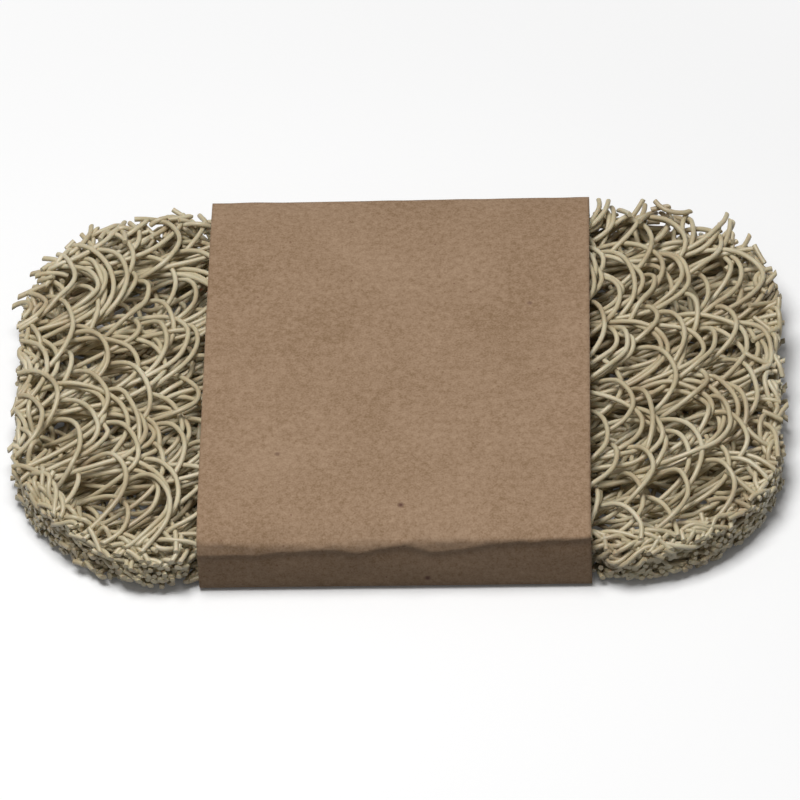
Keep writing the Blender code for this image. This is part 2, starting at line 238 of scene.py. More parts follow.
@dataclass(frozen=True)
class KraftPaper:
    """Unbleached kraft paper, machine-made from brown pulp.

    Short fibres lie in all directions, so the brown is mottled at about the width of a fibre
    bundle, and bits of bark show as rare dark specks. The surface is uncoated and fully matt. A
    single fibre is too fine to show, so the fibres are drawn as coarse as they need to be.
    """

    deep: str = "#84694D"
    plain: str = "#967B61"
    pale: str = "#A4896F"
    bark: str = "#5E4033"
    fleck: str = "#7C5D47"
    mottle_mm: float = 0.9
    fibre_mm: float = 0.32
    cloud_mm: float = 14.0
    cloud_share: float = 0.4
    tooth_mm: float = 0.03
    tooth_strength: float = 0.3
    bark_mm: float = 13.0
    fleck_mm: float = 3.6
    roughness: float = 0.9
    ior: float = 1.5

    def make(self) -> bpy.types.Material:
        """Builds the material.

        Returns:
            The band's material.
        """
        material = bpy.data.materials.new("kraft_paper")
        add = emptied(material)
        place = add("ShaderNodeTexCoord").outputs["Object"]
        mottle, fibres, clouds = (
            add(
                "ShaderNodeTexNoise",
                inputs={"Vector": place, "Scale": 1 / (size_mm * MM), "Detail": detail},
            ).outputs["Fac"]
            for size_mm, detail in ((self.mottle_mm, 4.0), (self.fibre_mm, 2.0), (self.cloud_mm, 1.0))
        )
        mixed = add("ShaderNodeMath", {"operation": "ADD"}, {0: mottle, 1: fibres})
        total = add(
            "ShaderNodeMath",
            {"operation": "MULTIPLY_ADD"},
            {0: clouds, 1: self.cloud_share, 2: mixed.outputs[0]},
        )
        mean = add(
            "ShaderNodeMath", {"operation": "DIVIDE"}, {0: total.outputs[0], 1: 2 + self.cloud_share}
        )
        brown = add(
            "ShaderNodeValToRGB",
            inputs={"Fac": mean.outputs[0]},
            stops=((0.36, self.deep), (0.5, self.plain), (0.64, self.pale)),
        ).outputs["Color"]
        # Each spot's colour, the size of its cells, and where it ends and the paper begins, in cells
        spots = ((self.fleck, self.fleck_mm, 0.02, 0.065), (self.bark, self.bark_mm, 0.012, 0.05))
        for spot, cell_mm, clear, edge in spots:
            cells = add("ShaderNodeTexVoronoi", inputs={"Vector": place, "Scale": 1 / (cell_mm * MM)})
            paper = add(
                "ShaderNodeMapRange",
                inputs={"Value": cells.outputs["Distance"], "From Min": clear, "From Max": edge},
            )
            brown = add(
                "ShaderNodeMix",
                {"data_type": "RGBA"},
                {"Factor": paper.outputs["Result"], 6: linear(spot), 7: brown},
            ).outputs[2]
        tooth = add(
            "ShaderNodeBump",
            inputs={
                "Strength": self.tooth_strength,
                "Distance": self.tooth_mm * MM,
                "Height": mixed.outputs[0],
            },
        )
        shader = add(
            "ShaderNodeBsdfPrincipled",
            inputs={
                "Base Color": brown,
                "Roughness": self.roughness,
                "IOR": self.ior,
                "Normal": tooth.outputs["Normal"],
            },
        )
        add("ShaderNodeOutputMaterial", inputs={"Surface": shader.outputs["BSDF"]})
        return material


@dataclass(frozen=True)
class PasteGlue:
    """Water-based paper paste, rolled on and dried in the lap.

    It dries to a thin amber film whose gloss breaks up over the paper's fibres.
    """

    thin: str = "#C9B184"
    thick: str = "#A98F5E"
    blot_mm: float = 1.6
    film_mm: float = 0.02
    film_strength: float = 0.2
    roughness: float = 0.35

    def make(self) -> bpy.types.Material:
        """Builds the material.

        Returns:
            The glue line's material.
        """
        material = bpy.data.materials.new("dried_paste")
        add = emptied(material)
        place = add("ShaderNodeTexCoord").outputs["Object"]
        blots = add(
            "ShaderNodeTexNoise",
            inputs={"Vector": place, "Scale": 1 / (self.blot_mm * MM), "Detail": 3.0},
        ).outputs["Fac"]
        colour = add(
            "ShaderNodeValToRGB", inputs={"Fac": blots}, stops=((0.35, self.thick), (0.65, self.thin))
        ).outputs["Color"]
        film = add(
            "ShaderNodeBump",
            inputs={"Strength": self.film_strength, "Distance": self.film_mm * MM, "Height": blots},
        )
        shader = add(
            "ShaderNodeBsdfPrincipled",
            inputs={"Base Color": colour, "Roughness": self.roughness, "Normal": film.outputs["Normal"]},
        )
        add("ShaderNodeOutputMaterial", inputs={"Surface": shader.outputs["BSDF"]})
        return material


@dataclass
class DieOutline:
    """The rounded rectangle that the die cuts the pad to."""

    half_length: float
    half_width: float
    corner_radius: float = 24.0 * MM
    turn_steps: int = 1440

    def distance(self, places: np.ndarray) -> np.ndarray:
        """Measures how far outside the outline places lie.

        Args:
            places: Points, of which X and Y are read.

        Returns:
            Distances in metres, negative inside.
        """
        over_x = np.abs(places[..., 0]) - (self.half_length - self.corner_radius)
        over_y = np.abs(places[..., 1]) - (self.half_width - self.corner_radius)
        outside = np.hypot(np.maximum(over_x, 0), np.maximum(over_y, 0))
        return outside + np.minimum(np.maximum(over_x, over_y), 0) - self.corner_radius

    def around(self, spacing: float) -> tuple[np.ndarray, np.ndarray]:
        """Walks round the outline.

        Args:
            spacing: The distance between the places, in metres.

        Returns:
            Places on the outline in X and Y, and the direction inward at each.
        """
        straight_x = self.half_length - self.corner_radius
        straight_y = self.half_width - self.corner_radius
        turn = np.linspace(0, math.tau, self.turn_steps + 1)
        out = np.stack((np.cos(turn), np.sin(turn)), axis=1)
        # A direction straight along an axis gives the middle of a side
        middles = np.sign(np.round(out, 9)) * (straight_x, straight_y)
        corners = middles + out * self.corner_radius
        along = walked(corners)
        wanted = np.arange(0, along[-1], spacing)
        places = np.stack([np.interp(wanted, along, corners[:, axis]) for axis in (0, 1)], axis=1)
        ways = np.stack([np.interp(wanted, along, -out[:, axis]) for axis in (0, 1)], axis=1)
        return places, ways


def resampled(path: np.ndarray, spacing: float) -> np.ndarray:
    """Reads evenly spaced points from a smooth curve through a path.

    Args:
        path: The points that the curve passes through.
        spacing: The distance between the new points, in metres.

    Returns:
        The new points, the first and last of them the path's own.
    """
    padded = np.vstack((2 * path[0] - path[1], path, 2 * path[-1] - path[-2]))
    fine = 8
    shares = np.linspace(0, 1, fine, endpoint=False)[None, :, None]
    before, start, end, after = (padded[shift : len(padded) - 3 + shift, None, :] for shift in range(4))
    curve = 0.5 * (
        2 * start
        + (end - before) * shares
        + (2 * before - 5 * start + 4 * end - after) * shares**2
        + (3 * start - before - 3 * end + after) * shares**3
    )
    dense = np.vstack((curve.reshape(-1, 3), path[-1]))
    along = walked(dense)
    count = max(round(along[-1] / spacing), 3)
    wanted = np.linspace(0, along[-1], count + 1)
    return np.stack([np.interp(wanted, along, dense[:, axis]) for axis in range(3)], axis=1)


def centreline(node: bpy.types.Object, outline: DieOutline) -> np.ndarray:
    """Finds the line that a CAD filament's tube runs along.

    The tube's corners are welded and taken ring by ring, starting from one of the two ends that
    the die has cut, whose corners lie on the outline.

    Args:
        node: The CAD filament.
        outline: The die's outline.

    Returns:
        The ring centres from one cut end to the other.
    """
    weld = 0.001 * MM
    cut_slack = 0.08 * MM
    corners = np.array([vertex.co for vertex in node.data.vertices])
    places, same = np.unique(np.round(corners / weld).astype(int), axis=0, return_inverse=True)
    places = places * weld
    same = same.reshape(-1)
    beside: list[set[int]] = [set() for _ in places]
    for edge in node.data.edges:
        first, second = (int(same[corner]) for corner in edge.vertices)
        beside[first].add(second)
        beside[second].add(first)
    on_cut = set(np.flatnonzero(np.abs(outline.distance(places)) < cut_slack).tolist())
    ring = {min(on_cut)}
    while grown := {near for corner in ring for near in beside[corner] if near in on_cut} - ring:
        ring |= grown
    seen = set(ring)
    centres = []
    while ring:
        centres.append(places[sorted(ring)].mean(axis=0))
        ring = {near for corner in ring for near in beside[corner]} - seen
        seen |= ring
    return np.array(centres)


class Origin(Enum):
    """Where a strand of the mat comes from."""

    CAD = "a filament of the CAD part"
    ROW = "a coiled row laid between those of the CAD part"
    CLIPPING = "the end of a loop that the die cut"
    HEM = "a loop squeezed down along the cut edge"


@dataclass
class Strand:
    """One filament of the mat: what it is called, the points that it runs through and its origin."""

    name: str
    points: np.ndarray
    origin: Origin


@dataclass(frozen=True)
class Lay:
    """How a row of coil is laid: between which heights, how closely, and its loops' size and swing.

    Heights run from -1 at the mat's underside to 1 at its top face. The loops swing to and fro
    within the given numbers of turns.
    """

    low: float
    high: float
    pitch: float
    length: float
    width: float
    swing: float
    swing_turns: tuple[float, float]


@dataclass
class FilamentMat:
    """The looped mat: the CAD part's filaments, and the filament laid between them.

    A level is a height from -1 at the mat's underside to 1 at its top face. A change is how far a
    coil's turns differ, as a share of the size or in turns.
    """

    outline: DieOutline
    floor_z: float
    top_z: float
    band_half_length: float
    thickness: float = 0.82 * MM
    spacing: float = 0.60 * MM
    # The rows of coils, and how their turns differ
    row_pitch: float = 8.2 * MM
    top_row: Lay = Lay(-1.0, 1.0, 3.2 * MM, 31.0 * MM, 16.0 * MM, 0.26, (5.1, 11.3))
    bed_row: Lay = Lay(-1.0, -0.45, 2.9 * MM, 18.0 * MM, 11.0 * MM, 1.30, (1.7, 2.9))
    turn_points: int = 16
    length_change: float = 0.35
    width_change: float = 0.36
    advance_change: float = 1.5
    phase_change: float = 0.35
    front_roundness: float = 0.22
    flattening: float = 0.13
    kink: float = 0.35 * MM
    row_wander: float = 1.6 * MM
    # The mat's two faces
    pinch_drop: float = 3.6 * MM
    pinch_run: float = 9.5 * MM
    back_squareness: float = 0.7
    back_pinch_shares: tuple[float, float] = (0.6, 0.0)
    top_radius: float = 2.4 * MM
    base_radius: float = 0.8 * MM
    lap_half: float = 7.3 * MM
    lap_rise: float = 0.65 * MM
    lap_run: float = 3.0 * MM
    beside_run: float = 2 * MM
    # The clippings, the longest run of a strand past the outline, and the shortest that is kept
    overrun: float = 2.2 * MM
    shortest: float = 2.5 * MM
    clipping_spacing: float = 0.5 * MM
    front_clippings: int = 3
    clipping_mm: tuple[float, float] = (3.0, 7.5)
    face_clipping_mm: tuple[float, float] = (2.0, 4.0)
    clipping_levels: tuple[float, float] = (-1.0, 0.8)
    face_clipping_levels: tuple[float, float] = (-1.0, -0.1)
    clipping_lean: float = 1.0
    clipping_curl: float = 0.16
    clipping_climb: float = 0.35
    # The strands squeezed down along the cut edge
    hems: int = 190
    front_hems: int = 40
    hem_mm: tuple[float, float] = (6, 20)
    hem_depths_mm: tuple[float, float] = (1.0, 3.2)
    hem_depth_waves_mm: tuple[float, float] = (1.0, 2.2)
    hem_depth_swing_mm: float = 0.8
    hem_levels: tuple[float, float] = (-1.0, 0.6)
    hem_level_waves_mm: tuple[float, float] = (1.1, 2.6)
    hem_level_swing: float = 0.45
    hem_least_mm: float = 1.5
    hem_slack_mm: float = 1.0
    hem_undercut_mm: float = 1.3
    # How far the front edge swells out at places along it, in millimetres
    front_swell: tuple[tuple[float, float], ...] = (
        (-60.0, -0.8),
        (-52.0, -1.1),
        (-45.0, 0.2),
        (-39.0, 1.4),
        (-34.0, 1.3),
        (-30.5, 0.0),
        (30.5, 0.0),
        (34.0, 1.3),
        (40.0, 0.8),
        (46.0, 1.0),
        (60.0, 0.3),
    )
    # How far beyond the outline the strands' ends are left, and how many of them stray
    cut_mm: tuple[float, float, float] = (-1.4, 0.0, -0.3)
    band_cuts_mm: tuple[float, float] = (-1.3, -0.5)
    near_end: int = 9
    back_strays: float = 0.3
    back_stray_mm: tuple[float, float] = (0.3, 2.0)
    back_excess: float = 0.4 * MM
    front_recess: float = 0.1 * MM
    side_strays: float = 0.06
    side_stray_mm: tuple[float, float] = (0.0, 0.8)
    # The tubes' sides, and the settling
    sides: int = 8
    touching: float = 0.93
    pair_reach: float = 1.7
    neighbours: int = 4
    new_pairs_every: int = 10
    smoothing: float = 0.6
    smoothings: int = 2
    settle_steps: int = 100
    seed: int = 5
    strands: list[Strand] = field(default_factory=list)

    def read_cad(self, nodes: dict[str, bpy.types.Object]) -> None:
        """Takes over the CAD part's filaments.

        Args:
            nodes: The CAD filaments by name.
        """
        for name, node in sorted(nodes.items()):
            path = centreline(node, self.outline)
            self.strands.append(Strand(name, resampled(path, self.spacing), Origin.CAD))

    def length(self) -> float:
        """Adds up the length of all the strands, in metres."""
        return sum(float(walked(strand.points)[-1]) for strand in self.strands)

    def height(self, share: np.ndarray | float) -> np.ndarray | float:
        """Turns a share from -1 at the underside to 1 at the top face into a centre height."""
        half = (self.top_z - self.floor_z - self.thickness) / 2
        return (self.top_z + self.floor_z) / 2 + half * share

    def beside(self, x: np.ndarray) -> np.ndarray:
        """Turns places along the mat into shares from 0 at the band to 1 a little way off it."""
        return np.clip((np.abs(x) - self.band_half_length) / self.beside_run, 0, 1)

    def coil(self, row_y: float, lay: Lay, dice: random.Random) -> np.ndarray:
        """Draws a filament as the extruder lays it, a coil that leans over forwards.

        Args:
            row_y: The nozzle's place across the mat.
            lay: How the row is laid.
            dice: The row's random numbers.

        Returns:
            Points along the coil.
        """
        reach = self.outline.half_length + lay.length
        turns = 2 * reach / lay.pitch
        turn = np.arange(0, turns, 1 / self.turn_points) + dice.uniform(0, 1)

        def wander(*periods: float) -> np.ndarray:
            """Returns a smooth change from -1 to 1 along the coil, its periods given in turns."""
            waves = [np.sin(math.tau * turn / period + dice.uniform(0, math.tau)) for period in periods]
            return sum(waves) / len(waves)

        angle = math.tau * turn
        hand = dice.choice((-1, 1))
        along = lay.length / 2 * (1 + self.length_change * wander(3.9, 8.9)) * np.cos(angle)
        rounder = 1 + self.front_roundness * np.cos(angle)
        across = lay.width / 2 * (1 + self.width_change * wander(3.3, 7.7)) * np.sin(angle) * rounder * hand
        advance = (turn + self.advance_change * wander(2.7, 5.9)) * lay.pitch
        swing = lay.swing * wander(*lay.swing_turns)
        lift = np.cos(angle + self.phase_change * wander(2.9, 4.3))
        # The water bath presses each loop's top and bottom flat
        share = (2 + 3 * lift - lift**3) / 4 * (1 - self.flattening * (1 + wander(1.7, 3.3)))
        rise = lay.low + (lay.high - lay.low) * share
        x = advance - reach + along * np.cos(swing) - across * np.sin(swing)
        y = row_y + self.row_wander * wander(4.1, 9.7) + along * np.sin(swing) + across * np.cos(swing)
        kinks = [self.kink * wander(0.13, 0.19, 0.31) for _ in range(3)]
        return np.column_stack((x, y, self.height(rise))) + np.column_stack(kinks)

    def lay(self) -> None:
        """Lays the rows of filament between those of the CAD part and cuts them to the outline."""
        rows = math.ceil((2 * self.outline.half_width + self.top_row.width) / self.row_pitch)
        for row in range(rows):
            dice = random.Random(f"{self.seed} {row}")
            row_y = (row - (rows - 1) / 2) * self.row_pitch
            # Every second row has coils that reach the top face as well
            for lay in (self.bed_row,) if row % 2 else (self.bed_row, self.top_row):
                path = resampled(self.coil(row_y, lay, dice), self.spacing)
                inside = self.outline.distance(path) < self.overrun
                changes = np.flatnonzero(np.diff(inside.astype(int)))
                starts = [step + 1 for step in changes if inside[step + 1]]
                ends = [step + 1 for step in changes if inside[step]]
                for start, end in zip(starts, ends):
                    piece = path[start:end]
                    deep = self.outline.distance(piece) < -self.thickness
                    if deep.sum() * self.spacing > self.shortest:
                        self.strands.append(Strand(f"mat_row_{row + 1:02d}", piece, Origin.ROW))

    def strew(self) -> None:
        """Strews the short ends of other loops along the cut edge, where the die left them.

        They are packed closely along the front, whose lower face shows little but cut ends.
        """
        dice = random.Random(f"{self.seed} clippings")
        places, ways = self.outline.around(self.clipping_spacing)
        is_front = places[:, 1] < -self.outline.half_width / 2
        more = np.repeat(np.flatnonzero(is_front), self.front_clippings)
        order = np.concatenate((np.arange(len(places)), more))
        for count, (place, way) in enumerate(zip(places[order], ways[order])):
            in_face = count >= len(places)
            place = place - way * self.swelling(place)
            heading = math.atan2(way[1], way[0]) + dice.gauss(0, self.clipping_lean)
            length = dice.uniform(*(self.face_clipping_mm if in_face else self.clipping_mm))
            steps = np.arange(-self.overrun, length * MM, self.spacing)
            turns = heading + dice.gauss(0, self.clipping_curl) / MM * steps
            level = dice.uniform(*(self.face_clipping_levels if in_face else self.clipping_levels))
            path = np.stack(
                (
                    np.cumsum(np.cos(turns)) * self.spacing - math.cos(heading) * self.overrun + place[0],
                    np.cumsum(np.sin(turns)) * self.spacing - math.sin(heading) * self.overrun + place[1],
                    self.height(level) + dice.gauss(0, self.clipping_climb) * steps,
                ),
                axis=1,
            )
            self.strands.append(Strand(f"mat_edge_{quarter(place)}", path, Origin.CLIPPING))

    def hem(self) -> None:
        """Lays strands along the cut edge, where the die has squeezed loops down into a skirt.

        A strand keeps a least depth inside the outline, and a smaller one beside the band.
        """
        dice = random.Random(f"{self.seed} hem")

        def weave(middles: tuple[float, float], waves_mm: tuple[float, float], swing: float) -> np.ndarray:
            """Returns a wave about a middle of its own, each radian of it as long as given."""
            middle, wave, start_angle = dice.uniform(*middles), dice.uniform(*waves_mm), dice.uniform(0, 6)
            return middle + swing * np.sin(steps * self.spacing / MM / wave + start_angle)

        places, ways = self.outline.around(self.spacing)
        front = np.flatnonzero(places[:, 1] < -self.outline.half_width / 2)
        for hem in range(self.hems + self.front_hems):
            start = dice.randrange(len(places)) if hem < self.hems else dice.choice(front.tolist())
            steps = np.arange(round(dice.uniform(*self.hem_mm) * MM / self.spacing))
            at = (start + steps) % len(places)
            depth = weave(self.hem_depths_mm, self.hem_depth_waves_mm, self.hem_depth_swing_mm)
            level = weave(self.hem_levels, self.hem_level_waves_mm, self.hem_level_swing)
            least = self.hem_least_mm - self.hem_slack_mm * self.beside(places[at, 0])
            inward = np.maximum(depth, least) - self.hem_undercut_mm * np.minimum(level, 0)
            inward = inward * MM - self.swelling(places[at])
            flat = places[at] + ways[at] * inward[:, None]
            path = np.column_stack((flat, self.height(level)))
            self.strands.append(Strand(f"mat_edge_{quarter(path[len(path) // 2])}", path, Origin.HEM))

    def swelling(self, places: np.ndarray) -> np.ndarray:
        """Finds how far the mat's front edge swells out of the die's outline beside the band.

        Args:
            places: Points on the mat's edge.

        Returns:
            The distance in metres, nothing under the band and at the back, and negative where the
            edge is drawn in.
        """
        along, swells = zip(*self.front_swell)
        front = smooth_step(-places[..., 1] / self.outline.half_width * 2)
        return np.interp(places[..., 0] / MM, along, swells) * MM * front

    def ceiling(self, places: np.ndarray) -> tuple[np.ndarray, np.ndarray]:
        """Finds the heights between which the mat lies.

        Both faces round off towards the long edges, where the band folds, and towards the rest
        of the cut edge, which the die pinches. Along the line of the band's lap the mat is pressed
        up.

        Args:
            places: Points of the mat.

        Returns:
            The lowest and the highest centre height at each point.
        """
        inward = -self.outline.distance(places)

        def rounded(radius: float) -> np.ndarray:
            """Returns how far a face with a rounded edge has dropped at each point."""
            into_edge = np.clip(radius - inward, 0, radius)
            return radius - np.sqrt(radius**2 - into_edge**2)

        x, y = places[:, 0], places[:, 1]
        back = smooth_step((y + self.pinch_run) / (3 * self.pinch_run))
        beside = self.beside(x)
        back_share = np.interp(x, (-self.band_half_length, self.band_half_length), self.back_pinch_shares)
        pinch = self.pinch_drop * np.clip(1 - inward / self.pinch_run, 0, 1) ** 2
        pinch *= 1 - back * (1 - back_share) * beside
        top_round = rounded(self.top_radius) * (1 - self.back_squareness * back * beside)
        lap = np.minimum(
            smooth_step((y + self.lap_half) / self.lap_run + 1),
            smooth_step((self.lap_half - y) / self.lap_run + 1),
        )
        low = self.floor_z + self.thickness / 2 + rounded(self.base_radius) + self.lap_rise * lap
        high = self.top_z - self.thickness / 2 - np.maximum(pinch, top_round)
        return np.minimum(low, high), high

    def settle(self) -> None:
        """Pushes crossing strands apart until they only touch, as they lay in the water bath."""
        points = np.concatenate([strand.points for strand in self.strands])
        counts = [len(strand.points) for strand in self.strands]
        owner = np.repeat(np.arange(len(counts)), counts)
        loose = np.repeat([strand.origin is not Origin.CAD for strand in self.strands], counts)
        index = np.arange(len(points))
        is_first = np.concatenate(([True], owner[1:] != owner[:-1]))
        is_last = np.concatenate((owner[1:] != owner[:-1], [True]))
        before = np.where(is_first, index, index - 1)
        after = np.where(is_last, index, index + 1)
        drawn = points.copy()
        wanted = self.touching * self.thickness
        steps = self.settle_steps
        for step in range(steps):
            if step % self.new_pairs_every == 0:
                reach = self.pair_reach * self.thickness
                first, second = near_pairs(points, owner, reach, self.neighbours)
            apart = points[first] - points[second]
            distance = np.maximum(np.linalg.norm(apart, axis=1), HAIR)
            close = distance < wanted
            near_a, near_b = first[close], second[close]
            push = apart[close] * ((wanted / distance[close] - 1) * 0.5)[:, None]
            share_a = np.where(loose[near_a], np.where(loose[near_b], 0.5, 1.0), 0.0)[:, None]
            share_b = np.where(loose[near_b], np.where(loose[near_a], 0.5, 1.0), 0.0)[:, None]
            moves = np.zeros_like(points)
            np.add.at(moves, near_a, push * share_a)
            np.add.at(moves, near_b, -push * share_b)
            points += moves
            for _ in range(self.smoothings):
                moved = points - drawn
                evened = self.smoothing * ((moved[before] + moved[after]) / 2 - moved)
                points += np.where(loose[:, None], evened, 0.0)
            low, high = self.ceiling(points)
            points[loose, 2] = np.clip(points[loose, 2], low[loose], high[loose])
        for strand, part in zip(self.strands, np.split(points, np.cumsum(counts)[:-1])):
            strand.points = part

    def fray(self, strand: Strand, edge: Edge, dice: random.Random) -> float:
        """Chooses how far beyond the outline a strand's end is left.

        Most ends are cut flush or just inside. Some spring out at the back, few at the sides and
        none at the front or under the band. A strand along the edge isn't cut.

        Args:
            strand: The strand.
            edge: Its end.
            dice: Random numbers.

        Returns:
            The distance in metres, negative inside.
        """
        if strand.origin is Origin.HEM:
            return math.inf
        end = strand.points[edge.value]
        near_end = strand.points[: self.near_end] if edge is Edge.FIRST else strand.points[-self.near_end :]
        beyond = dice.triangular(*self.cut_mm) * MM
        if np.abs(near_end[:, 0]).min() < self.band_half_length + self.thickness:
            return min(beyond, self.band_cuts_mm[int(end[1] >= 0)] * MM)
        if end[1] > -self.outline.half_width / 2:
            at_back = end[1] > self.outline.half_width / 2
            if dice.random() < (self.back_strays if at_back else self.side_strays):
                return dice.uniform(*(self.back_stray_mm if at_back else self.side_stray_mm)) * MM
            return beyond + (self.back_excess if at_back else 0)
        swelling = float(self.swelling(end))
        if strand.origin is not Origin.CLIPPING:
            swelling = min(swelling, 0)
        return beyond - self.front_recess + swelling

    def dress(self, material: bpy.types.Material) -> list[bpy.types.Object]:
        """Draws every strand as a round tube with its ends cut by the die.

        Args:
            material: The filament's material.

        Returns:
            The mat's objects, one for each CAD filament and one for each row laid here.
        """
        dice = random.Random(self.seed)
        groups: dict[str, list[Strand]] = {}
        for strand in self.strands:
            groups.setdefault(strand.name, []).append(strand)
        objects = []
        for name, strands in groups.items():
            shape = TubeMesh(self.sides, self.thickness / 2, self.outline)
            for strand in strands:
                shape.add(strand.points, [self.fray(strand, edge, dice) for edge in Edge])
            in_cad = strands[0].origin is Origin.CAD
            obj = shape.make(f"{name}_strand" if in_cad else name, material)
            if in_cad:
                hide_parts(name)
            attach(obj, "pad")
            objects.append(obj)
        return objects


def quarter(place: np.ndarray) -> str:
    """Names the quarter of the mat that a place lies in."""
    return ("front" if place[1] < 0 else "back") + ("_left" if place[0] < 0 else "_right")


def near_pairs(
    points: np.ndarray, owner: np.ndarray, reach: float, apart: int
) -> tuple[np.ndarray, np.ndarray]:
    """Lists the pairs of points within reach of each other, by sorting the points into cells.

    Args:
        points: The strands' points.
        owner: The strand that each point belongs to.
        reach: The largest distance between the points of a pair.
        apart: How many points along one strand two points may be and still count as neighbours.

    Returns:
        The two points of every pair.
    """
    cell = np.floor(points / reach).astype(np.int64)
    cell -= cell.min(axis=0) - 1
    size = cell.max(axis=0) + 2
    key = (cell[:, 0] * size[1] + cell[:, 1]) * size[2] + cell[:, 2]
    order = np.argsort(key, kind="stable")
    sorted_key = key[order]
    found_a, found_b = [], []
    for dx in (0, 1):
        for dy in (-1, 0, 1):
            for dz in (-1, 0, 1):
                if (dx, dy, dz) < (0, 0, 0):
                    continue
                shifted = key + (dx * size[1] + dy) * size[2] + dz
                start = np.searchsorted(sorted_key, shifted, "left")
                count = np.searchsorted(sorted_key, shifted, "right") - start
                first = np.repeat(np.arange(len(points)), count)
                offset = np.arange(count.sum()) - np.repeat(np.cumsum(count) - count, count)
                second = order[np.repeat(start, count) + offset]
                if (dx, dy, dz) == (0, 0, 0):
                    once = first < second
                    first, second = first[once], second[once]
                close = np.linalg.norm(points[first] - points[second], axis=1) < reach
                close &= (owner[first] != owner[second]) | (np.abs(first - second) > apart)
                found_a.append(first[close])
                found_b.append(second[close])
    return np.concatenate(found_a), np.concatenate(found_b)


@dataclass
class TubeMesh:
    """Collects round tubes, their ends cut to the outline, into one mesh.

    A cut slides an end's corners by a share of the radius at most, and leaves alone those that
    run along the outline.
    """

    sides: int
    radius: float
    outline: DieOutline
    end_room: float = 0.9
    most_slide: float = 0.8
    least_slope: float = 0.35
    slope_step: float = 0.05 * MM
    least_points: int = 4
    sharp_degrees: float = 50.0
    corners: list[np.ndarray] = field(default_factory=list)
    faces: list[tuple[int, ...]] = field(default_factory=list)
    count: int = 0

    def trimmed(self, path: np.ndarray, beyond: float) -> np.ndarray:
        """Ends a path where it first leaves the outline, coming from its middle.

        Args:
            path: A strand's points.
            beyond: How far outside the outline the end lies.

        Returns:
            The path up to its end, ordered from the middle outwards.
        """
        distance = self.outline.distance(path) - beyond
        out = np.flatnonzero(distance > 0)
        if len(out) == 0:
            return path
        if out[0] == 0:
            return path[:1]
        share = distance[out[0] - 1] / (distance[out[0] - 1] - distance[out[0]])
        end = path[out[0] - 1] + (path[out[0]] - path[out[0] - 1]) * share
        kept = path[: out[0]]
        far = np.linalg.norm(kept - end, axis=1) > self.end_room * self.radius
        return np.vstack((kept[far], end))

    def add(self, path: np.ndarray, beyond: list[float]) -> None:
        """Adds one strand's tube.

        Args:
            path: The strand's points.
            beyond: How far outside the outline each of its two ends is cut.
        """
        middle = int(np.argmin(self.outline.distance(path)))
        start = self.trimmed(path[middle::-1], beyond[0])
        end = self.trimmed(path[middle:], beyond[1])
        line = np.vstack((start[::-1], end[1:]))
        if len(line) < self.least_points:
            return
        tangent = np.gradient(line, axis=0)
        tangent /= np.linalg.norm(tangent, axis=1)[:, None]
        side = np.cross(tangent[0], (0, 0, 1)) + np.array((HAIR, 0, 0))
        turns = np.arange(self.sides) / self.sides * math.tau
        rings = np.empty((len(line), self.sides, 3))
        for step, (centre, ahead) in enumerate(zip(line, tangent)):
            side = side - ahead * side.dot(ahead)
            side /= np.linalg.norm(side)
            up = np.cross(ahead, side)
            spokes = np.cos(turns)[:, None] * side + np.sin(turns)[:, None] * up
            rings[step] = centre + self.radius * spokes
        for edge, beyond_edge in zip(Edge, beyond):
            if math.isfinite(beyond_edge):
                self.cut(rings, tangent, edge, beyond_edge)
        base, sides = self.count, self.sides
        last = base + (len(line) - 1) * sides
        for low in range(base, last, sides):
            for corner in range(sides):
                after = (corner + 1) % sides
                self.faces.append((low + corner, low + after, low + sides + after, low + sides + corner))
        self.faces.append(tuple(range(base + sides - 1, base - 1, -1)))
        self.faces.append(tuple(range(last, last + sides)))
        self.corners.append(rings.reshape(-1, 3))
        self.count += len(line) * sides

    def cut(self, rings: np.ndarray, tangent: np.ndarray, edge: Edge, beyond: float) -> None:
        """Slides the corners of an end ring along the strand onto the die's cut.

        Args:
            rings: The tube's corners, changed in place.
            tangent: The strand's direction at each ring.
            edge: The end to cut.
            beyond: How far outside the outline the cut lies.
        """
        ahead = tangent[edge.value]
        ring = rings[edge.value]
        step, distance = self.slope_step, self.outline.distance
        slope = (distance(ring + ahead * step) - distance(ring - ahead * step)) / (2 * step)
        steep = np.abs(slope) > self.least_slope
        shift = np.where(steep, (beyond - distance(ring)) / np.where(steep, slope, 1), 0)
        most = self.most_slide * self.radius
        ring += np.clip(shift, -most, most)[:, None] * ahead

    def make(self, name: str, material: bpy.types.Material) -> bpy.types.Object:
        """Makes the collected tubes one object.

        Args:
            name: The object's name.
            material: Its material.

        Returns:
            The new object.
        """
        mesh = bpy.data.meshes.new(name)
        mesh.from_pydata(np.concatenate(self.corners).tolist(), [], self.faces)
        mesh.materials.append(material)
        mesh.shade_smooth()
        mesh.set_sharp_from_angle(angle=math.radians(self.sharp_degrees))
        return add_object(name, mesh)


@dataclass(frozen=True)
class Bend:
    """A bend in the strip, seen from the band's end."""

    y: float
    z: float
    reach: float
    steps: int


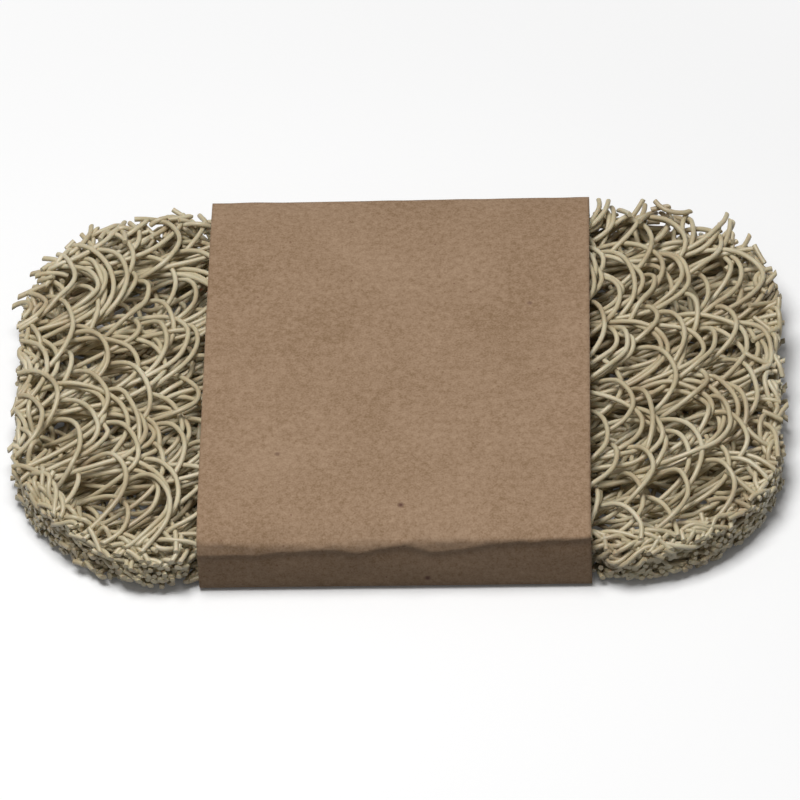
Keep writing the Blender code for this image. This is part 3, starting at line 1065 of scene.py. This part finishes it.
@dataclass
class PaperBand:
    """The kraft strip, folded round the pad and lapped underneath."""

    half_length: float
    half_width: float
    height: float
    paper: float = 0.30 * MM
    crown: float = 0.5 * MM
    wall_bulge: float = 0.3 * MM
    lap_half: float = 7.0 * MM
    lap_rise: float = 0.65 * MM
    lap_gap: float = 0.3 * MM
    lap_run: float = 3.0 * MM
    lap_bend: float = 1.2 * MM
    base_fold: float = 1.5 * MM
    set_back: float = 0.5 * MM
    # The front fold's two creases, and the undercut below them
    crease: float = 0.4 * MM
    upper_crease: float = 1.7
    bevel_slope: float = 0.34
    sag_wave: float = 2.6 * MM
    sag_waver_mm: float = 0.14
    drop_wave: float = 1.7 * MM
    drop_waver_mm: float = 0.12
    least_drop_mm: float = 0.2
    undercut: float = 0.30 * MM
    undercut_drop: float = 0.9 * MM
    undercut_bend: float = 0.5 * MM
    # The top, from the slope behind the creases to the back fold
    slope_run: float = 3.2 * MM
    slope_sag: float = 0.42
    slope_bend: float = 1.4 * MM
    flat_run: float = 8.8 * MM
    flat_bend: float = 2.4 * MM
    back_flat_run: float = 8.5 * MM
    back_flat_bend: float = 3.0 * MM
    back_slope_run: float = 3.8 * MM
    back_slope_sag: float = 0.35
    back_slope_bend: float = 1.3 * MM
    back_sag: float = 0.9 * MM
    back_fold: float = 1.4 * MM
    # The most that a bend may take of the way back to the last one and on to the next
    room_before: float = 0.9
    room_after: float = 0.45
    # The crumples: where they fade out, and the size of their waves and their heights
    front_run: float = 7 * MM
    back_run: float = 6 * MM
    crease_drop: float = 2 * MM
    crease_run: float = 2.2 * MM
    broad_wave_mm: tuple[float, float] = (17, 21)
    broad_mm: float = 0.10
    crumple_wave_mm: tuple[float, float, float] = (5.5, 4, 5)
    crumple_mm: float = 0.22
    fine_wave_mm: tuple[float, float, float] = (2.3, 1.3, 1.3)
    fine_mm: float = 0.14
    back_crumple: float = 0.5
    wall_crumple: float = 1.6
    # How finely the strip is drawn along the band, and round each bend
    grid: float = 0.5 * MM
    turn_steps: int = 7
    # Places along the front fold, the upper crease's sag and the lower one's drop, in millimetres
    front_sag: tuple[tuple[float, float, float], ...] = (
        (-30.3, 1.5, 2.2),
        (-21.1, 2.1, 1.7),
        (-15.8, 2.1, 1.1),
        (-9.7, 2.0, 1.0),
        (-5.1, 2.0, 1.6),
        (1.8, 1.5, 0.7),
        (5.6, 1.8, 1.9),
        (9.5, 1.7, 1.7),
        (14.8, 1.5, 0.7),
        (22.5, 1.4, 0.5),
        (30.3, 1.0, 0.3),
    )

    def squeezed(self, x: float) -> tuple[float, float]:
        """Finds how the front fold was squeezed at a place along it.

        The strip was folded round a soft pad by hand, so its front fold is a bevel between two
        creases, wide at the left end and nearly sharp at the right.

        Args:
            x: Place along the band.

        Returns:
            How far the upper crease has sagged, and how far the lower one lies below it.
        """
        places, sags, drops = zip(*self.front_sag)
        sag_waver = noise.noise(Vector((x / self.sag_wave, 0.7, 2.3)))
        drop_waver = noise.noise(Vector((x / self.drop_wave, 5.1, 0.9)))
        sag = float(np.interp(x / MM, places, sags)) + self.sag_waver_mm * sag_waver
        drop = float(np.interp(x / MM, places, drops)) + self.drop_waver_mm * drop_waver
        return sag * MM, max(drop, self.least_drop_mm) * MM

    def bends(self, x: float) -> list[Bend]:
        """Lists the strip's bends at one place along the band.

        Args:
            x: Place along the band.

        Returns:
            The bends from the inner flap's free end round to the outer flap's.
        """
        near, top = self.half_width, self.height
        sag, drop = self.squeezed(x)
        run = self.bevel_slope * drop
        back = self.back_sag
        step = -self.lap_half - self.lap_gap
        return [
            Bend(self.lap_half, self.lap_rise, 0, 10),
            Bend(step, self.lap_rise, self.lap_bend, 1),
            Bend(step - self.lap_run, 0, self.lap_bend, 20),
            Bend(-near + self.set_back * (0.5 - x / self.half_length / 2), 0, self.base_fold, 8),
            Bend(-near + 2 * self.undercut, top - sag - drop - self.undercut_drop, self.undercut_bend, 2),
            Bend(-near + self.undercut, top - sag - drop, self.crease, 2),
            Bend(-near + self.undercut + run, top - sag, self.upper_crease * self.crease, 3),
            Bend(-near + run + self.slope_run, top - self.slope_sag * sag, self.slope_bend, 3),
            Bend(-near + run + self.flat_run, top, self.flat_bend, 100),
            Bend(near - self.back_flat_run, top, self.back_flat_bend, 2),
            Bend(near - self.back_slope_run, top - self.back_slope_sag * back, self.back_slope_bend, 3),
            Bend(near, top - back, self.back_fold, 14),
            Bend(near, 0, self.base_fold, 40),
            Bend(-self.lap_half, 0, 0, 0),
        ]

    def section(self, x: float) -> np.ndarray:
        """Draws the strip's outer face across the band at one place along it.

        Args:
            x: Place along the band.

        Returns:
            Points from the inner flap's free end round to the outer flap's.
        """
        bends = self.bends(x)
        spots = np.array([(bend.y, bend.z) for bend in bends])
        points = [spots[:1]]
        leave = spots[0]
        share = np.linspace(0, 1, self.turn_steps + 1)[:, None]
        for before, bend, spot, ahead in zip(bends, bends[1:], spots[1:], [*spots[2:], spots[-1]]):
            back, forth = leave - spot, ahead - spot
            far_back, far_forth = np.linalg.norm(back), np.linalg.norm(forth)
            room = min(self.room_before * far_back, self.room_after * far_forth or math.inf, bend.reach)
            enter = spot + back * (room / far_back)
            run = np.linspace(0, 1, before.steps + 1)[1:, None]
            points.append(leave + (enter - leave) * run)
            if bend.reach:
                leave = spot + forth * (room / far_forth)
                turn = (1 - share) ** 2 * enter + 2 * share * (1 - share) * spot + share**2 * leave
                points.append(turn[1:])
        path = np.vstack(points)
        across = np.clip(1 - (path[:, 0] / self.half_width) ** 2, 0, 1)
        rise = np.clip(path[:, 1] / self.height, 0, 1)
        path[:, 1] += self.crown * across * (rise > 0.5)
        path[:, 0] *= 1 + self.wall_bulge / self.half_width * 4 * rise * (1 - rise)
        return path

    def crumple(self, x: float, y: float, z: float) -> float:
        """Finds how far the paper stands out or in at a point.

        The paper is flat where it lies on the surface below, nearly flat on top, and crumpled
        along the front fold, where a hand has squeezed it.

        Args:
            x: Place along the band.
            y: Place across the band.
            z: Height above the surface.

        Returns:
            The outward shift in metres.
        """
        lift = min(max(z / self.height, 0), 1)
        near_front = max(0.0, 1 - abs(y + self.half_width) / self.front_run)
        near_front *= min(1.0, lift * self.wall_crumple)
        near_back = max(0.0, 1 - abs(y - self.half_width) / self.back_run) * lift
        near_crease = near_front * max(0.0, 1 - abs(z - self.height + self.crease_drop) / self.crease_run)
        wave_x, wave_y = self.broad_wave_mm
        broad = noise.noise(Vector((x / (wave_x * MM), y / (wave_y * MM), 1.3)))
        creases, fine = (
            noise.noise(Vector([place / (wave * MM) for place, wave in zip((x, y, z), waves)]))
            for waves in (self.crumple_wave_mm, self.fine_wave_mm)
        )
        crumples = (near_front + self.back_crumple * near_back) * self.crumple_mm * creases
        crumples += near_crease * self.fine_mm * fine
        return (lift * self.broad_mm * broad + crumples) * MM

    def make(self, material: bpy.types.Material) -> bpy.types.Object:
        """Builds the folded strip.

        Args:
            material: The paper's material.

        Returns:
            The band's object.
        """
        columns = round(2 * self.half_length / self.grid)
        sections = []
        for column in range(columns + 1):
            x = -self.half_length + 2 * self.half_length * column / columns
            flat = self.section(x)
            along = np.gradient(flat, axis=0)
            along /= np.linalg.norm(along, axis=1)[:, None]
            outward = np.stack((-along[:, 1], along[:, 0]), axis=1)
            shift = np.array([self.crumple(x, y, z) for y, z in flat])
            shifted = flat + outward * shift[:, None]
            sections.append(np.column_stack((np.full(len(flat), x), shifted)))
        rows = len(sections[0])
        faces = [
            (corner, corner + rows, corner + rows + 1, corner + 1)
            for corner in range(columns * rows)
            if corner % rows < rows - 1
        ]
        mesh = bpy.data.meshes.new("kraft_band")
        mesh.from_pydata(np.concatenate(sections).tolist(), [], faces)
        mesh.materials.append(material)
        mesh.shade_smooth()
        band = add_object("kraft_band", mesh)
        paper = band.modifiers.new("paper", "SOLIDIFY")
        paper.thickness = self.paper
        paper.offset = -1
        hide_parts("paper_band")
        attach(band, "band")
        return band


@dataclass(frozen=True)
class Softbox:
    """A square soft lamp that faces the object, its width in metres and its power in watts."""

    name: str
    place: tuple[float, float, float]
    width: float
    power: float


@dataclass
class Studio:
    """The floor, the lamps and the camera of the photograph's view."""

    elevation: float = 42.8
    azimuth: float = 2.8
    roll: float = 2.9
    distance: float = 1200 * MM
    pixels_per_mm: float = 6.34
    frame_pixels: int = 800
    origin_right_pixels: float = -0.4
    origin_down_pixels: float = 14.9
    sensor_mm: float = 36.0
    clip: tuple[float, float] = (0.01, 20)
    floor_size: float = 6
    floor_drop: float = 0.05 * MM
    shade_reach: float = 75 * MM
    white_reach: float = 190 * MM
    least_white: float = 0.03
    spill: str = "#888B8E"
    shade_light: float = 0.16
    softboxes: tuple[Softbox, ...] = (
        Softbox("overhead_softbox", (-0.075, -0.055, 0.55), 0.28, 2.82),
        Softbox("front_softbox", (-0.30, -0.75, 1.05), 0.45, 0.1),
    )

    def place_camera(self) -> None:
        """Puts the camera where the photograph was taken from."""
        elevation, azimuth = math.radians(self.elevation), math.radians(self.azimuth)
        back = Vector(
            (
                math.sin(azimuth) * math.cos(elevation),
                -math.cos(azimuth) * math.cos(elevation),
                math.sin(elevation),
            )
        )
        level = Vector((0, 0, 1)).cross(back).normalized()
        upright = back.cross(level)
        turn = Matrix.Rotation(math.radians(-self.roll), 3, back)
        right, up = turn @ level, turn @ upright
        per_pixel = MM / self.pixels_per_mm
        aim = up * (self.origin_down_pixels * per_pixel) - right * (self.origin_right_pixels * per_pixel)
        data = bpy.data.cameras.new("camera")
        data.sensor_width = self.sensor_mm
        data.lens = self.sensor_mm * self.pixels_per_mm * (self.distance / MM) / self.frame_pixels
        data.clip_start, data.clip_end = self.clip
        camera = add_object("camera", data)
        rotation = Matrix((right, up, back)).transposed().to_4x4()
        camera.matrix_world = Matrix.Translation(aim + back * self.distance) @ rotation
        bpy.context.scene.camera = camera

    def lay_floor(self) -> None:
        """Lays a plain pale floor that throws little light back.

        The camera sees the object's shade on it, and plain white further out.
        """
        material = bpy.data.materials.new("white_sweep")
        add = emptied(material)
        path = add("ShaderNodeLightPath")
        seen = add(
            "ShaderNodeMath",
            {"operation": "MAXIMUM"},
            {0: path.outputs["Is Camera Ray"], 1: path.outputs["Is Glossy Ray"]},
        )
        tone = add(
            "ShaderNodeMix",
            {"data_type": "RGBA"},
            {"Factor": seen.outputs[0], 6: linear(self.spill), 7: linear("#FFFFFF")},
        )
        place = add("ShaderNodeTexCoord").outputs["Object"]
        away = add("ShaderNodeVectorMath", {"operation": "LENGTH"}, {0: place})
        far = add(
            "ShaderNodeMapRange",
            {"interpolation_type": "SMOOTHSTEP"},
            {
                "Value": away.outputs["Value"],
                "From Min": self.shade_reach,
                "From Max": self.white_reach,
                "To Min": self.least_white,
            },
        )
        matt = add("ShaderNodeBsdfDiffuse", inputs={"Color": tone.outputs[2]})
        glow = add("ShaderNodeEmission", inputs={"Color": linear("#FFFFFF"), "Strength": seen.outputs[0]})
        both = add(
            "ShaderNodeMixShader",
            inputs={0: far.outputs["Result"], 1: matt.outputs["BSDF"], 2: glow.outputs["Emission"]},
        )
        add("ShaderNodeOutputMaterial", inputs={"Surface": both.outputs["Shader"]})
        bpy.ops.mesh.primitive_plane_add(size=self.floor_size, location=(0, 0, -self.floor_drop))
        floor = bpy.context.object
        floor.name = "studio_floor"
        floor.data.materials.append(material)

    def hang_lamps(self) -> None:
        """Hangs a broad lamp overhead and a weak one in front, and fills the shade with a dim world."""
        world = bpy.data.worlds.new("studio_world")
        bpy.context.scene.world = world
        add = emptied(world)
        path = add("ShaderNodeLightPath")
        strength = add(
            "ShaderNodeMapRange",
            inputs={"Value": path.outputs["Is Camera Ray"], "To Min": self.shade_light},
        )
        back = add(
            "ShaderNodeBackground",
            inputs={"Color": linear("#FFFFFF"), "Strength": strength.outputs["Result"]},
        )
        add("ShaderNodeOutputWorld", inputs={"Surface": back.outputs["Background"]})
        for softbox in self.softboxes:
            data = bpy.data.lights.new(softbox.name, "AREA")
            data.size = softbox.width
            data.energy = softbox.power
            lamp = add_object(softbox.name, data)
            lamp.location = softbox.place
            lamp.rotation_euler = Vector(softbox.place).to_track_quat("Z", "Y").to_euler()


def main() -> None:
    """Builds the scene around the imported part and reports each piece."""
    logging.basicConfig(level=logging.INFO, format="%(message)s")
    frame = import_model()
    bpy.context.scene.view_settings.view_transform = "Standard"
    studio = Studio()
    studio.place_camera()
    studio.lay_floor()
    studio.hang_lamps()

    nodes = frame["nodes"]
    filaments = {name: node for name, node in nodes.items() if name not in ("paper_band", "lap_glue")}
    corners = np.array([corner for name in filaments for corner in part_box(name)])
    outline = DieOutline(half_length=float(corners[:, 0].max()), half_width=float(corners[:, 1].max()))
    _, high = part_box("paper_band")
    mat = FilamentMat(outline, float(corners[:, 2].min()), float(corners[:, 2].max()), high.x)
    mat.read_cad(filaments)
    mat.lay()
    mat.strew()
    mat.hem()
    LOG.info("mat: %d strands, %.1f m", len(mat.strands), mat.length())
    mat.settle()
    pieces = mat.dress(SoftPvc().make())

    band = PaperBand(
        half_length=high.x,
        half_width=high.y - PaperBand.wall_bulge,
        height=high.z - PaperBand.crown,
    )
    pieces.append(band.make(KraftPaper().make()))
    glue = nodes["lap_glue"]
    glue.data.materials.clear()
    glue.data.materials.append(PasteGlue().make())
    for piece in (*pieces, glue):
        LOG.info("%s: %d faces", piece.name, len(piece.data.polygons))


if __name__ == "__main__":
    main()
